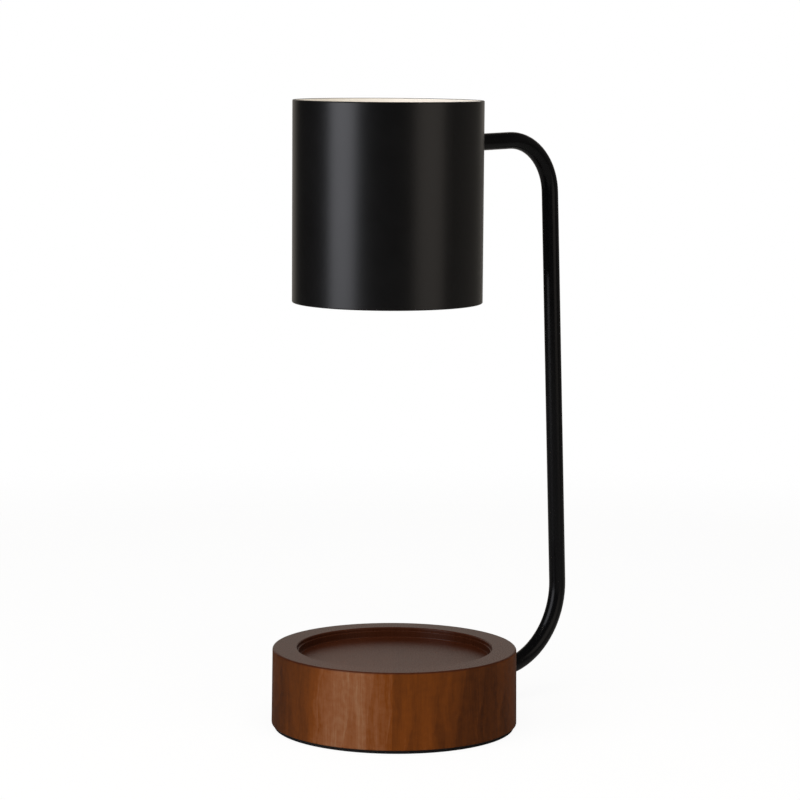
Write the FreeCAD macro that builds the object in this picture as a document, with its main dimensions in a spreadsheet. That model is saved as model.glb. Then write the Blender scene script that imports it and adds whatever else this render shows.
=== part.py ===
import FreeCAD, Part
import math
import os
import Sketcher

# A candle warmer lamp: a turned wooden base with a tray for a jar candle, a bent steel tube that
# rises behind it, and an open metal shade that hangs a twist-lock reflector bulb over the tray.
# Millimetres. The origin is the middle of the underside, +Z is up, and the arm rises towards +Y.

Vector = FreeCAD.Vector
Placement = FreeCAD.Placement
Rotation = FreeCAD.Rotation

doc = FreeCAD.newDocument("candle_warmer_lamp")
sheet = doc.addObject("Spreadsheet::Sheet", "dims")

dimensions = {
    # how far a cutting solid reaches past the face it cuts
    "over_cut": 1,
    # base
    "base_dia": 143,
    "base_foot_dia": 144,
    "base_height": 46.7,
    "base_edge": 1.2,
    "foot_edge": 0.6,
    "pad_dia": 140.8,
    "pad_height": 2,
    "tray_dia": 114.4,
    "tray_depth": 6,
    "tray_edge": 0.8,
    "tray_ledge_drop": 2,
    "tray_ledge_width": 1,
    "tray_ledge_edge": 0.4,
    "tray_fillet": 0.6,
    "cavity_dia": 92,
    "cavity_ceiling": 33,
    # bottom cover and its screws
    "cover_dia": 110.8,
    "cover_height": 1.5,
    "cover_play": 0.3,
    "cover_screw_count": 4,
    "cover_screw_circle": 101.6,
    "cover_screw_turn": 45,
    "cover_screw_head": 6.2,
    "cover_screw_shank": 3.2,
    "cover_screw_length": 12,
    "cross_recess_arm": 3.7,
    "cross_recess_width": 0.8,
    "cross_recess_depth": 1.1,
    # cord inlet
    "inlet_height": 16,
    "inlet_turn": 30,
    "inlet_bore": 6.2,
    "inlet_hole": 10,
    "inlet_flange_dia": 14,
    "inlet_flange_depth": 1.2,
    "inlet_flange_round": 0.5,
    "inlet_seat_dia": 14.6,
    "inlet_seat_reach": 70.9,
    "inlet_length": 22,
    # arm
    "tube_dia": 10,
    "tube_wall": 1,
    "tube_hole_play": 0.15,
    "leg_reach": 135.1,
    "leg_lean": 2.56,
    "low_run_height": 22,
    "low_bend": 46.8,
    "top_corner_height": 342.1,
    "top_droop": 1.41,
    "top_bend": 33.2,
    "tube_low_end": 36,
    "tube_top_end": 31,
    "collar_dia": 16,
    "collar_length": 4,
    "collar_edge": 0.8,
    "collar_seat_dia": 16.6,
    "collar_seat_reach": 70.9,
    "washer_dia": 18,
    "washer_height": 1.2,
    "nut_flats": 14,
    "nut_height": 5,
    "nut_thread": 10,
    "bush_flange_height": 1,
    "bush_length": 8,
    "bush_bore": 6.4,
    "bush_play": 0.05,
    # shade
    "shade_dia": 110,
    "shade_height": 116,
    "shade_bottom": 250.1,
    "shade_set_back": 7.3,
    "shade_wall": 0.8,
    "hem_height": 4,
    "hem_round": 0.6,
    "collar_gap": 0.3,
    "bracket_gap": 1,
    # holder bracket
    "bracket_width": 16,
    "bracket_sheet": 1.2,
    "bracket_tab_drop": 9.5,
    "bracket_overhang": 15.5,
    "bracket_bend": 1.2,
    # lampholder
    "holder_dia": 29,
    "holder_bottom": 327,
    "holder_height": 24,
    "holder_plate": 3,
    "chamber_dia": 16,
    "chamber_height": 15,
    "pin_spacing": 10,
    "pin_neck_dia": 3,
    "pin_head_dia": 5,
    "pin_slot_play": 0.3,
    "pin_hole_play": 0.4,
    "twist": 25,
    "holder_screw_spacing": 22,
    "holder_screw_dia": 3,
    "holder_screw_play": 0.1,
    "holder_screw_head": 5.4,
    "holder_screw_head_height": 2.2,
    "holder_screw_sink": 3,
    "holder_screw_length": 28.4,
    "holder_recess_arm": 3.2,
    "holder_recess_width": 0.76,
    "holder_recess_depth": 1.3,
    "holder_nut_flats": 5.5,
    "holder_nut_height": 2.4,
    "contact_sheet": 0.6,
    "contact_width": 4,
    "contact_lift": 7,
    "contact_back": 2,
    "contact_front": 3,
    # leads
    "lead_dia": 1.8,
    "lead_half_gap": 1.6,
    "lead_height": 340,
    "lead_hole": 3.2,
    "lead_bend": 10,
    "lead_in_terminal": 1.5,
    "lead_low_turn": 9,
    "lead_top_turn": 5,
    "lead_holder_turn": 2,
    "sleeve_dia": 2.8,
    "sleeve_bore": 1.9,
    "sleeve_in_tube": 4,
    "sleeve_in_holder": 0.5,
    # terminal block
    "block_length": 16,
    "block_width": 20,
    "block_height": 12.5,
    "block_reach": -8,
    "block_pitch": 9,
    "terminal_height": 26.5,
    "terminal_length": 12,
    "terminal_dia": 4.8,
    "terminal_bore": 2.6,
    "terminal_screw_dia": 2.5,
    "terminal_screw_head": 3.6,
    "terminal_screw_spacing": 6,
    "terminal_screw_tip": 25.5,
    "terminal_screw_length": 3.6,
    "terminal_head_height": 1.2,
    "terminal_well": 4,
    "slot_width_share": 0.2,
    "slot_depth_share": 0.5,
    "block_screw_dia": 2.6,
    "block_screw_head": 5,
    "block_screw_head_height": 1.5,
    "block_screw_play": 0.1,
    "block_seat_play": 0.2,
    "block_screw_depth": 4.5,
    "block_screw_sink": 2.5,
    # bulb
    "bulb_face": 279.7,
    "bulb_dia": 50,
    "bulb_gap": 0.3,
    "bulb_rim_height": 3,
    "bulb_rim_round": 0.5,
    "bulb_glass_wall": 1.2,
    "bulb_base_top_dia": 23,
    "bulb_base_low_dia": 21,
    "bulb_base_height": 17,
    "bulb_base_round": 1,
    "bulb_neck_dia": 20,
    "bulb_curve": 48,
    "bulb_step": 1.5,
    "front_glass_height": 1.8,
    "pin_neck_length": 3.9,
    "pin_head_length": 3.1,
    "capsule_dia": 8.5,
    "capsule_length": 19,
    "capsule_wall": 0.8,
    "capsule_tip_wall": 1.6,
    "capsule_round": 2,
    "filament_dia": 1.4,
    "filament_length": 7,
    "filament_rise": 6,
    "filament_tail": 3,
    "filament_wire_dia": 0.35,
    "filament_wire_reach": 2.1,
    "filament_wire_drop": 1.6,
    "filament_wire_bend": 0.8,
}


def fill_sheet():
    for row, (alias, size) in enumerate(dimensions.items(), 1):
        sheet.set(f"A{row}", alias)
        sheet.set(f"B{row}", str(size))
        sheet.setAlias(f"B{row}", alias)
    doc.recompute()


fill_sheet()

# Edges are picked by their place, within this distance.
pick_distance = 0.01

# Rules that several pieces share, written in the sheet's names.
tray_floor = "(dims.base_height - dims.tray_depth)"
cover_seat_top = "(dims.pad_height + dims.cover_height)"
tube_radius = "(dims.tube_dia / 2)"
top_corner_reach = (
    "(dims.leg_reach - (dims.top_corner_height - dims.low_run_height) * tan(dims.leg_lean))"
)
shade_wall_reach = "(dims.shade_dia / 2 - dims.shade_set_back)"
bracket_bottom = "(dims.holder_bottom + dims.holder_height)"
bulb_shoulder = "(dims.holder_bottom - dims.bulb_gap)"
pin_circle = "(dims.pin_spacing / 2)"


def value(rule):
    return float(sheet.evalExpression(rule))


def top_run_height(reach):
    # How high the arm's axis is over the point at this reach on its top run.
    return f"(dims.top_corner_height - ({top_corner_reach} - ({reach})) * tan(dims.top_droop))"


def top_run_point(along):
    # A point on the arm's axis, this far out of the shade's wall, as rules for y and z.
    reach = f"({shade_wall_reach} + ({along}) * cos(dims.top_droop))"
    return reach, top_run_height(reach)


# ---- helpers for the document's objects


def bind(item, **sizes):
    for name, rule in sizes.items():
        item.setExpression(name, rule)


def place(item, x="0", y="0", z="0", axis=None, angle="0"):
    if axis:
        item.Placement = Placement(Vector(), Rotation(axis, 1))
        item.setExpression("Placement.Rotation.Angle", angle)
    item.setExpression("Placement.Base.x", x)
    item.setExpression("Placement.Base.y", y)
    item.setExpression("Placement.Base.z", z)
    return item


def new_body(label):
    body = doc.addObject("PartDesign::Body", label)
    body.AllowCompound = True
    return body


def origin_item(body, role):
    return next(item for item in body.Origin.OriginFeatures if item.Role == role)


def new_sketch(body, role, lift="0", turn=None):
    # A sketch on one of the body's own planes, turned about the plane's upright axis, and lifted
    # along its own normal.
    sketch = body.newObject("Sketcher::SketchObject", body.Label + "_sketch")
    sketch.AttachmentSupport = [(origin_item(body, role), "")]
    sketch.MapMode = "FlatFace"
    if turn:
        sketch.AttachmentOffset = Placement(Vector(), Rotation(Vector(0, 1, 0), 1))
        sketch.setExpression("AttachmentOffset.Rotation.Angle", turn)
        sketch.setExpression("AttachmentOffset.Base.x", f"({lift}) * sin({turn})")
        sketch.setExpression("AttachmentOffset.Base.z", f"({lift}) * cos({turn})")
    else:
        sketch.setExpression("AttachmentOffset.Base.z", lift)
    return sketch


def fix_point(sketch, item, end, x, y):
    for kind, axis, rule in (("DistanceX", -2, x), ("DistanceY", -1, y)):
        if rule == "0":
            sketch.addConstraint(Sketcher.Constraint("PointOnObject", item, end, axis))
        else:
            number = sketch.addConstraint(Sketcher.Constraint(kind, -1, 1, item, end, value(rule)))
            sketch.setExpression(f"Constraints[{number}]", rule)


def draw_circle(sketch, radius, x="0", y="0"):
    centre = Vector(value(x), value(y), 0)
    circle = sketch.addGeometry(Part.Circle(centre, Vector(0, 0, 1), value(radius)))
    if x == "0" and y == "0":
        sketch.addConstraint(Sketcher.Constraint("Coincident", circle, 3, -1, 1))
    else:
        fix_point(sketch, circle, 3, x, y)
    number = sketch.addConstraint(Sketcher.Constraint("Radius", circle, value(radius)))
    sketch.setExpression(f"Constraints[{number}]", radius)


def draw_arc(sketch, start, end, radius, side):
    # A round edge whose centre is to the left of the way along for side 1, to the right for -1.
    chord = end - start
    middle = (start + end) / 2
    left = Vector(-chord.y, chord.x, 0).normalize()
    centre = middle + left * side * math.sqrt(radius**2 - (chord.Length / 2) ** 2)
    first, last = (start, end) if side > 0 else (end, start)
    turns = [math.atan2(spot.y - centre.y, spot.x - centre.x) for spot in (first, last)]
    if turns[1] < turns[0]:
        turns[1] += 2 * math.pi
    circle = Part.Circle(centre, Vector(0, 0, 1), radius)
    arc = sketch.addGeometry(Part.ArcOfCircle(circle, *turns))
    return (arc, 1, 2) if side > 0 else (arc, 2, 1)


def draw_outline(sketch, corners):
    # A closed outline. Each corner is two rules, x and y. A third item, a rule and a side, makes
    # the edge to the next corner round.
    spots = [Vector(value(corner[0]), value(corner[1]), 0) for corner in corners]
    edges = []
    for number, corner in enumerate(corners):
        start, end = spots[number], spots[(number + 1) % len(spots)]
        if len(corner) == 3:
            rule, side = corner[2]
            edges.append(draw_arc(sketch, start, end, value(rule), side))
            radius = Sketcher.Constraint("Radius", edges[-1][0], value(rule))
            sketch.setExpression(f"Constraints[{sketch.addConstraint(radius)}]", rule)
        else:
            edges.append((sketch.addGeometry(Part.LineSegment(start, end)), 1, 2))
    for number, (item, first, _) in enumerate(edges):
        before, _, last = edges[number - 1]
        sketch.addConstraint(Sketcher.Constraint("Coincident", before, last, item, first))
        fix_point(sketch, item, first, *corners[number][:2])


def add_pad(body, sketch, length, side="One side", reverse=False):
    pad = body.newObject("PartDesign::Pad", body.Label + "_pad")
    pad.Profile = sketch
    pad.SideType = side
    pad.Reversed = reverse
    bind(pad, Length=length)
    doc.recompute()
    return pad


def add_pocket(body, sketch, length, reverse=False):
    # A pocket that cuts nothing shows no error, so the volume is compared.
    before = body.Shape.Volume
    pocket = body.newObject("PartDesign::Pocket", body.Label + "_pocket")
    pocket.Profile = sketch
    pocket.Reversed = reverse
    bind(pocket, Length=length)
    doc.recompute()
    if body.Shape.Volume >= before:
        raise RuntimeError(f"a pocket of {body.Label} cuts nothing")
    return pocket


def add_pattern(body, originals, count):
    pattern = body.newObject("PartDesign::PolarPattern", body.Label + "_pattern")
    pattern.Originals = originals
    pattern.Axis = (origin_item(body, "Z_Axis"), [""])
    pattern.Angle = 360
    bind(pattern, Occurrences=count)
    body.Tip = pattern
    doc.recompute()
    return pattern


def round_edges(body, size, rings):
    # Rounds the circular edges about Z, each given as rules for its radius and height.
    wanted = [(value(radius), value(height)) for radius, height in rings]
    tip = body.Tip
    names = []
    for number, edge in enumerate(tip.Shape.Edges, 1):
        if edge.Curve.TypeId != "Part::GeomCircle":
            continue
        centre = edge.Curve.Center
        for radius, height in wanted:
            away = (math.hypot(centre.x, centre.y), edge.Curve.Radius - radius, centre.z - height)
            if max(map(abs, away)) < pick_distance:
                names.append(f"Edge{number}")
    fillet = body.newObject("PartDesign::Fillet", body.Label + "_round")
    fillet.Base = (tip, names)
    bind(fillet, Radius=size)
    doc.recompute()


def turn_outline(body, kind, corners, axis_reach="0"):
    # Turns an outline of (radius, height) corners about an upright axis at this reach along X,
    # to add a solid or to cut a groove.
    sketch = new_sketch(body, "XZ_Plane")
    if axis_reach == "0":
        draw_outline(sketch, corners)
        axis = "V_Axis"
    else:
        draw_outline(sketch, [(f"{axis_reach} + {corner[0]}", *corner[1:]) for corner in corners])
        low, high = Vector(value(axis_reach), 0, 0), Vector(value(axis_reach), 1, 0)
        line = sketch.addGeometry(Part.LineSegment(low, high), True)
        fix_point(sketch, line, 1, axis_reach, "0")
        fix_point(sketch, line, 2, axis_reach, "1")
        axis = "Axis0"
    turn = body.newObject(kind, body.Label + "_turn")
    turn.Profile = sketch
    turn.ReferenceAxis = (sketch, [axis])
    doc.recompute()
    return turn


def add_turned(body, corners, axis_reach="0"):
    return turn_outline(body, "PartDesign::Revolution", corners, axis_reach)


def add_groove(body, corners, axis_reach="0"):
    before = body.Shape.Volume
    groove = turn_outline(body, "PartDesign::Groove", corners, axis_reach)
    if body.Shape.Volume >= before:
        raise RuntimeError(f"a groove of {body.Label} cuts nothing")
    return groove


def ring(label, outer, inner, height, edge=None):
    # A washer, collar or disc with a hole, flat on Z 0 of its own frame.
    body = new_body(label)
    corners = [(inner, "0"), (outer, "0"), (outer, height), (inner, height)]
    add_turned(body, corners)
    if edge:
        round_edges(body, edge, [(outer, height)])
    return body


def cylinder(name, radius, height, **where):
    item = doc.addObject("Part::Cylinder", name)
    bind(item, Radius=radius, Height=height)
    return place(item, **where)


def box(name, length, width, height, **where):
    item = doc.addObject("Part::Box", name)
    bind(item, Length=length, Width=width, Height=height)
    return place(item, **where)


def hex_prism(name, flats, height, **where):
    item = doc.addObject("Part::Prism", name)
    item.Polygon = 6
    bind(item, Circumradius=f"{flats} / 2 / cos(30)", Height=height)
    return place(item, **where)


def cut(label, solid, tools):
    tool = tools[0]
    if len(tools) > 1:
        tool = doc.addObject("Part::MultiFuse", label + "_tools")
        tool.Shapes = tools
    result = doc.addObject("Part::Cut", label)
    result.Base = solid
    result.Tool = tool
    return result


def fuse(label, solids):
    result = doc.addObject("Part::MultiFuse", label)
    result.Shapes = solids
    result.Refine = True
    return result


def group(label, solids):
    result = doc.addObject("Part::Compound", label)
    result.Links = solids
    return result


def cross_corners(x, arm, width):
    # The outline of a cross recess about the point (x, 0).
    near, far = f"{width} / 2", f"{arm} / 2"
    quarter = [(far, near), (near, near), (near, far)]
    corners = []
    for right, forward, order in ((1, 1, 1), (-1, 1, -1), (-1, -1, 1), (1, -1, -1)):
        for across, along in quarter[::order]:
            corners.append((f"{x} + ({right}) * {across}", f"({forward}) * {along}"))
    return corners


# ---- base


def make_base():
    # A turned wooden block, a little wider at the foot, with a stepped tray in its top and a
    # cavity for the wiring below.
    body = new_body("base_body")
    ledge = "(dims.tray_dia / 2 - dims.tray_ledge_width)"
    ledge_height = "(dims.base_height - dims.tray_ledge_drop)"
    seat = "(dims.cover_dia / 2 + dims.cover_play)"
    corners = [
        ("0", tray_floor),
        (ledge, tray_floor),
        (ledge, ledge_height),
        ("dims.tray_dia / 2", ledge_height),
        ("dims.tray_dia / 2", "dims.base_height"),
        ("dims.base_dia / 2", "dims.base_height"),
        ("dims.base_foot_dia / 2", "dims.pad_height"),
        (seat, "dims.pad_height"),
        (seat, cover_seat_top),
        ("dims.cavity_dia / 2", cover_seat_top),
        ("dims.cavity_dia / 2", "dims.cavity_ceiling"),
        ("0", "dims.cavity_ceiling"),
    ]
    add_turned(body, corners)
    round_edges(body, "dims.base_edge", [("dims.base_dia / 2", "dims.base_height")])
    round_edges(body, "dims.tray_edge", [("dims.tray_dia / 2", "dims.base_height")])
    round_edges(body, "dims.tray_ledge_edge", [(ledge, ledge_height)])
    round_edges(body, "dims.tray_fillet", [(ledge, tray_floor)])
    round_edges(body, "dims.foot_edge", [("dims.base_foot_dia / 2", "dims.pad_height")])
    bore_base(body)
    return body


def bore_base(body):
    # The arm's hole goes out through the rear wall, and a flat seat around it takes the collar.
    arm = new_sketch(body, "XZ_Plane")
    draw_circle(arm, f"{tube_radius} + dims.tube_hole_play", y="dims.low_run_height")
    add_pocket(body, arm, "dims.base_foot_dia / 2")
    collar = new_sketch(body, "XZ_Plane", lift="-dims.collar_seat_reach")
    draw_circle(collar, "dims.collar_seat_dia / 2", y="dims.low_run_height")
    add_pocket(body, collar, "dims.base_foot_dia / 2 - dims.collar_seat_reach + dims.over_cut")
    # The cord's hole is beside it, with a seat for the grommet's flange.
    inlet = new_sketch(body, "XZ_Plane", turn="dims.inlet_turn")
    draw_circle(inlet, "dims.inlet_hole / 2", y="dims.inlet_height")
    add_pocket(body, inlet, "dims.base_foot_dia / 2")
    flange = new_sketch(body, "XZ_Plane", lift="-dims.inlet_seat_reach", turn="dims.inlet_turn")
    draw_circle(flange, "dims.inlet_seat_dia / 2", y="dims.inlet_height")
    add_pocket(body, flange, "dims.base_foot_dia / 2 - dims.inlet_seat_reach + dims.over_cut")
    # A pilot hole in the cavity's ceiling holds the terminal block's screw.
    block = new_sketch(body, "XY_Plane", lift="dims.cavity_ceiling")
    draw_circle(block, "dims.block_screw_dia / 2", y="dims.block_reach")
    add_pocket(body, block, "dims.block_screw_depth", reverse=True)
    # Pilot holes for the cover's screws go up from the cover's seat.
    pilot = new_sketch(body, "XY_Plane", lift=cover_seat_top)
    across = "dims.cover_screw_circle / 2 * cos(dims.cover_screw_turn)"
    along = "dims.cover_screw_circle / 2 * sin(dims.cover_screw_turn)"
    draw_circle(pilot, "dims.cover_screw_shank / 2", x=across, y=along)
    hole = add_pocket(body, pilot, "dims.cover_screw_length - dims.cover_height", reverse=True)
    add_pattern(body, [hole], "dims.cover_screw_count")


def make_cover():
    # A sheet steel disc, countersunk for its screws.
    body = new_body("bottom_cover")
    place(body, z="dims.pad_height", axis=Vector(0, 0, 1), angle="dims.cover_screw_turn")
    disc = new_sketch(body, "XY_Plane")
    draw_circle(disc, "dims.cover_dia / 2")
    add_pad(body, disc, "dims.cover_height")
    corners = [
        ("0", "0"),
        ("dims.cover_screw_head / 2", "0"),
        ("dims.cover_screw_shank / 2", "dims.cover_height"),
        ("0", "dims.cover_height"),
    ]
    countersink = add_groove(body, corners, "dims.cover_screw_circle / 2")
    add_pattern(body, [countersink], "dims.cover_screw_count")
    return body


def make_cover_screws():
    # Countersunk wood screws, heads down and flush with the cover.
    body = new_body("cover_screws")
    place(body, z="dims.pad_height", axis=Vector(0, 0, 1), angle="dims.cover_screw_turn")
    reach = "dims.cover_screw_circle / 2"
    shank = "dims.cover_screw_shank / 2"
    corners = [
        ("0", "0"),
        ("dims.cover_screw_head / 2", "0"),
        (shank, "dims.cover_height"),
        (shank, "dims.cover_screw_length - dims.cover_screw_shank"),
        ("0", "dims.cover_screw_length"),
    ]
    turn = add_turned(body, corners, reach)
    recess = new_sketch(body, "XY_Plane")
    draw_outline(recess, cross_corners(reach, "dims.cross_recess_arm", "dims.cross_recess_width"))
    slot = add_pocket(body, recess, "dims.cross_recess_depth", reverse=True)
    add_pattern(body, [turn, slot], "dims.cover_screw_count")
    return body


def make_grommet():
    # A rubber bush in the cord's hole, its flange outside.
    body = new_body("cord_grommet")
    barrel = "(dims.inlet_length - dims.inlet_flange_depth)"
    corners = [
        ("dims.inlet_bore / 2", "0"),
        ("dims.inlet_hole / 2", "0"),
        ("dims.inlet_hole / 2", barrel),
        ("dims.inlet_flange_dia / 2", barrel),
        ("dims.inlet_flange_dia / 2", "dims.inlet_length"),
        ("dims.inlet_bore / 2", "dims.inlet_length"),
    ]
    add_turned(body, corners)
    round_edges(body, "dims.inlet_flange_round", [("dims.inlet_flange_dia / 2", "dims.inlet_length")])
    inner_end = value("dims.inlet_seat_reach - (dims.inlet_length - dims.inlet_flange_depth)")
    turn = Rotation(Vector(0, 0, 1), value("dims.inlet_turn"))
    spot = turn.multVec(Vector(0, inner_end, value("dims.inlet_height")))
    body.Placement = Placement(spot, turn * Rotation(Vector(1, 0, 0), -90))
    return body


def make_pad():
    body = new_body("antislip_pad")
    disc = new_sketch(body, "XY_Plane")
    draw_circle(disc, "dims.pad_dia / 2")
    add_pad(body, disc, "dims.pad_height")
    return body


# ---- arm


def fillet_ends(before, corner, after, radius):
    # Where an arc of this radius leaves the two runs at a corner.
    back = (before - corner).normalize()
    forward = (after - corner).normalize()
    half = back.getAngle(forward) / 2
    reach = radius / math.tan(half)
    return corner + back * reach, corner + forward * reach


def make_arm_tube():
    body = new_body("arm_tube")
    path = new_sketch(body, "YZ_Plane")
    end_height = top_run_height("dims.tube_top_end")
    low_corner = ("dims.leg_reach", "dims.low_run_height")
    top_corner = (top_corner_reach, "dims.top_corner_height")
    start = ("dims.tube_low_end", "dims.low_run_height")
    end = ("dims.tube_top_end", end_height)
    spots = [Vector(value(x), value(y), 0) for x, y in (start, low_corner, top_corner, end)]
    low_in, low_out = fillet_ends(spots[0], spots[1], spots[2], value("dims.low_bend"))
    top_in, top_out = fillet_ends(spots[1], spots[2], spots[3], value("dims.top_bend"))
    low_run = path.addGeometry(Part.LineSegment(spots[0], low_in))
    leg = path.addGeometry(Part.LineSegment(low_out, top_in))
    top_run = path.addGeometry(Part.LineSegment(top_out, spots[3]))
    low_bend = draw_arc(path, low_in, low_out, value("dims.low_bend"), 1)
    top_bend = draw_arc(path, top_in, top_out, value("dims.top_bend"), 1)
    marks = [path.addGeometry(Part.Point(spot), True) for spot in spots[1:3]]
    fix_point(path, marks[0], 1, *low_corner)
    fix_point(path, marks[1], 1, *top_corner)
    fix_point(path, low_run, 1, *start)
    fix_point(path, top_run, 2, *end)
    path.addConstraint(Sketcher.Constraint("Horizontal", low_run))
    path.addConstraint(Sketcher.Constraint("PointOnObject", marks[0], 1, leg))
    path.addConstraint(Sketcher.Constraint("PointOnObject", marks[1], 1, leg))
    path.addConstraint(Sketcher.Constraint("PointOnObject", marks[1], 1, top_run))
    for run, run_end, bend, bend_end in (
        (low_run, 2, low_bend[0], 1),
        (leg, 1, low_bend[0], 2),
        (leg, 2, top_bend[0], 1),
        (top_run, 1, top_bend[0], 2),
    ):
        path.addConstraint(Sketcher.Constraint("Tangent", run, run_end, bend, bend_end))
    for bend, rule in ((low_bend[0], "dims.low_bend"), (top_bend[0], "dims.top_bend")):
        number = path.addConstraint(Sketcher.Constraint("Radius", bend, value(rule)))
        path.setExpression(f"Constraints[{number}]", rule)
    section = new_sketch(body, "XZ_Plane", lift="-dims.tube_low_end")
    draw_circle(section, tube_radius, y="dims.low_run_height")
    draw_circle(section, f"{tube_radius} - dims.tube_wall", y="dims.low_run_height")
    pipe = body.newObject("PartDesign::AdditivePipe", "arm_tube_pipe")
    pipe.Profile = section
    pipe.Spine = (path, [])
    doc.recompute()
    return body


def on_top_run(item, along):
    # Puts a turned piece on the arm's top run, its own Z pointing out of the shade.
    reach, height = top_run_point(along)
    return place(item, y=reach, z=height, axis=Vector(-1, 0, 0), angle="90 - dims.top_droop")


def on_low_run(item, reach):
    return place(item, y=reach, z="dims.low_run_height", axis=Vector(-1, 0, 0), angle="90")


def make_collar(label):
    edge = "dims.collar_edge"
    return ring(label, "dims.collar_dia / 2", tube_radius, "dims.collar_length", edge)


def make_washer(label):
    return ring(label, "dims.washer_dia / 2", tube_radius, "dims.washer_height")


def make_nut(label):
    prism = hex_prism(label + "_prism", "dims.nut_flats", "dims.nut_height")
    hole = cylinder(label + "_thread", "dims.nut_thread / 2", "dims.nut_height")
    return cut(label, prism, [hole])


def make_bush(label):
    # A plastic bush in the tube's end, so that the edge doesn't chafe the leads. Its flange is
    # at its own bottom, outside the tube.
    body = new_body(label)
    barrel = f"({tube_radius} - dims.tube_wall - dims.bush_play)"
    corners = [
        ("dims.bush_bore / 2", "0"),
        (tube_radius, "0"),
        (tube_radius, "dims.bush_flange_height"),
        (barrel, "dims.bush_flange_height"),
        (barrel, "dims.bush_length"),
        ("dims.bush_bore / 2", "dims.bush_length"),
    ]
    add_turned(body, corners)
    return body


def make_arm_fittings():
    # Outside the base and the shade the arm has a round collar, and inside it a washer and a nut.
    cavity_chord = "sqrt((dims.cavity_dia / 2)^2 - (dims.washer_dia / 2)^2)"
    washer_reach = f"({cavity_chord} - dims.washer_height)"
    tab_inside = "(-dims.shade_wall - dims.bracket_gap - dims.bracket_sheet)"
    washer_along = f"({tab_inside} - dims.washer_height)"
    end_along = f"((dims.tube_top_end - {shade_wall_reach}) / cos(dims.top_droop))"
    return [
        on_low_run(make_collar("base_collar"), "dims.collar_seat_reach"),
        on_low_run(make_washer("base_washer"), washer_reach),
        on_low_run(make_nut("base_nut"), f"{washer_reach} - dims.nut_height"),
        on_low_run(make_bush("base_end_bush"), "dims.tube_low_end - dims.bush_flange_height"),
        on_top_run(make_collar("shade_collar"), "dims.collar_gap"),
        on_top_run(make_washer("shade_washer"), washer_along),
        on_top_run(make_nut("shade_nut"), f"{washer_along} - dims.nut_height"),
        on_top_run(make_bush("shade_end_bush"), f"{end_along} - dims.bush_flange_height"),
    ]


# ---- shade and holder


def make_shade():
    # A sheet metal cylinder, open at both ends, with its rims folded in.
    body = new_body("shade_shell")
    place(body, y="-dims.shade_set_back", z="dims.shade_bottom")
    outer = "dims.shade_dia / 2"
    inner = "(dims.shade_dia / 2 - dims.shade_wall)"
    hem = "(dims.shade_dia / 2 - 2 * dims.shade_wall)"
    upper = "(dims.shade_height - dims.hem_height)"
    corners = [
        (hem, "0"),
        (outer, "0"),
        (outer, "dims.shade_height"),
        (hem, "dims.shade_height"),
        (hem, upper),
        (inner, upper),
        (inner, "dims.hem_height"),
        (hem, "dims.hem_height"),
    ]
    add_turned(body, corners)
    rims = [(radius, height) for radius in (outer, hem) for height in ("0", "dims.shade_height")]
    round_edges(body, "dims.hem_round", rims)
    hole = new_sketch(body, "XZ_Plane")
    _, height = top_run_point("0")
    draw_circle(hole, f"{tube_radius} + dims.tube_hole_play", y=f"{height} - dims.shade_bottom")
    add_pocket(body, hole, "dims.shade_dia / 2")
    return body


def make_bracket():
    # A bent steel strip: a tab that the arm's nut clamps, and a flat that carries the holder.
    body = new_body("holder_bracket")
    top = f"({bracket_bottom} + dims.bracket_sheet)"
    tilt = "tan(dims.top_droop)"
    face_reach, face_height = top_run_point("-dims.shade_wall - dims.bracket_gap")
    back_reach, _ = top_run_point("-dims.shade_wall - dims.bracket_gap - dims.bracket_sheet")
    low = f"({face_height} - dims.bracket_tab_drop)"
    far = "(-dims.shade_set_back - dims.bracket_overhang)"
    corners = [
        (f"{face_reach} + ({face_height} - {low}) * {tilt}", low),
        (f"{face_reach} - ({top} - {face_height}) * {tilt}", top),
        (far, top),
        (far, bracket_bottom),
        (f"{back_reach} - ({bracket_bottom} - {face_height}) * {tilt}", bracket_bottom),
        (f"{back_reach} + ({face_height} - {low}) * {tilt}", low),
    ]
    outline = new_sketch(body, "YZ_Plane")
    draw_outline(outline, corners)
    add_pad(body, outline, "dims.bracket_width", side="Symmetric")
    bend_strip(body, value(top), "dims.bracket_bend + dims.bracket_sheet")
    bend_strip(body, value(bracket_bottom), "dims.bracket_bend")
    hole = new_sketch(body, "XZ_Plane")
    draw_circle(hole, f"{tube_radius} + dims.tube_hole_play", y=face_height)
    add_pocket(body, hole, "dims.shade_dia / 2")
    screws = new_sketch(body, "XY_Plane", lift=bracket_bottom)
    for side in (-1, 1):
        spot = f"-dims.shade_set_back + ({side}) * dims.holder_screw_spacing / 2"
        draw_circle(screws, "dims.holder_screw_dia / 2 + dims.holder_screw_play", y=spot)
    add_pocket(body, screws, "dims.bracket_sheet", reverse=True)
    return body


def bend_strip(body, height, radius):
    # Rounds the strip's bend: of the edges across it at this height, the one nearest the arm.
    tip = body.Tip
    across = [
        (edge.BoundBox.YMax, f"Edge{number}")
        for number, edge in enumerate(tip.Shape.Edges, 1)
        if abs(edge.BoundBox.ZMax - height) < pick_distance
        and edge.BoundBox.XLength > value("dims.bracket_width / 2")
    ]
    fillet = body.newObject("PartDesign::Fillet", "holder_bracket_bend")
    fillet.Base = (tip, [max(across)[1]])
    bind(fillet, Radius=radius)
    doc.recompute()


def holder_spot(turn, reach):
    # A point on a circle about the shade's axis, as rules for x and y.
    return f"{reach} * cos({turn})", f"-dims.shade_set_back + {reach} * sin({turn})"


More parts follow.
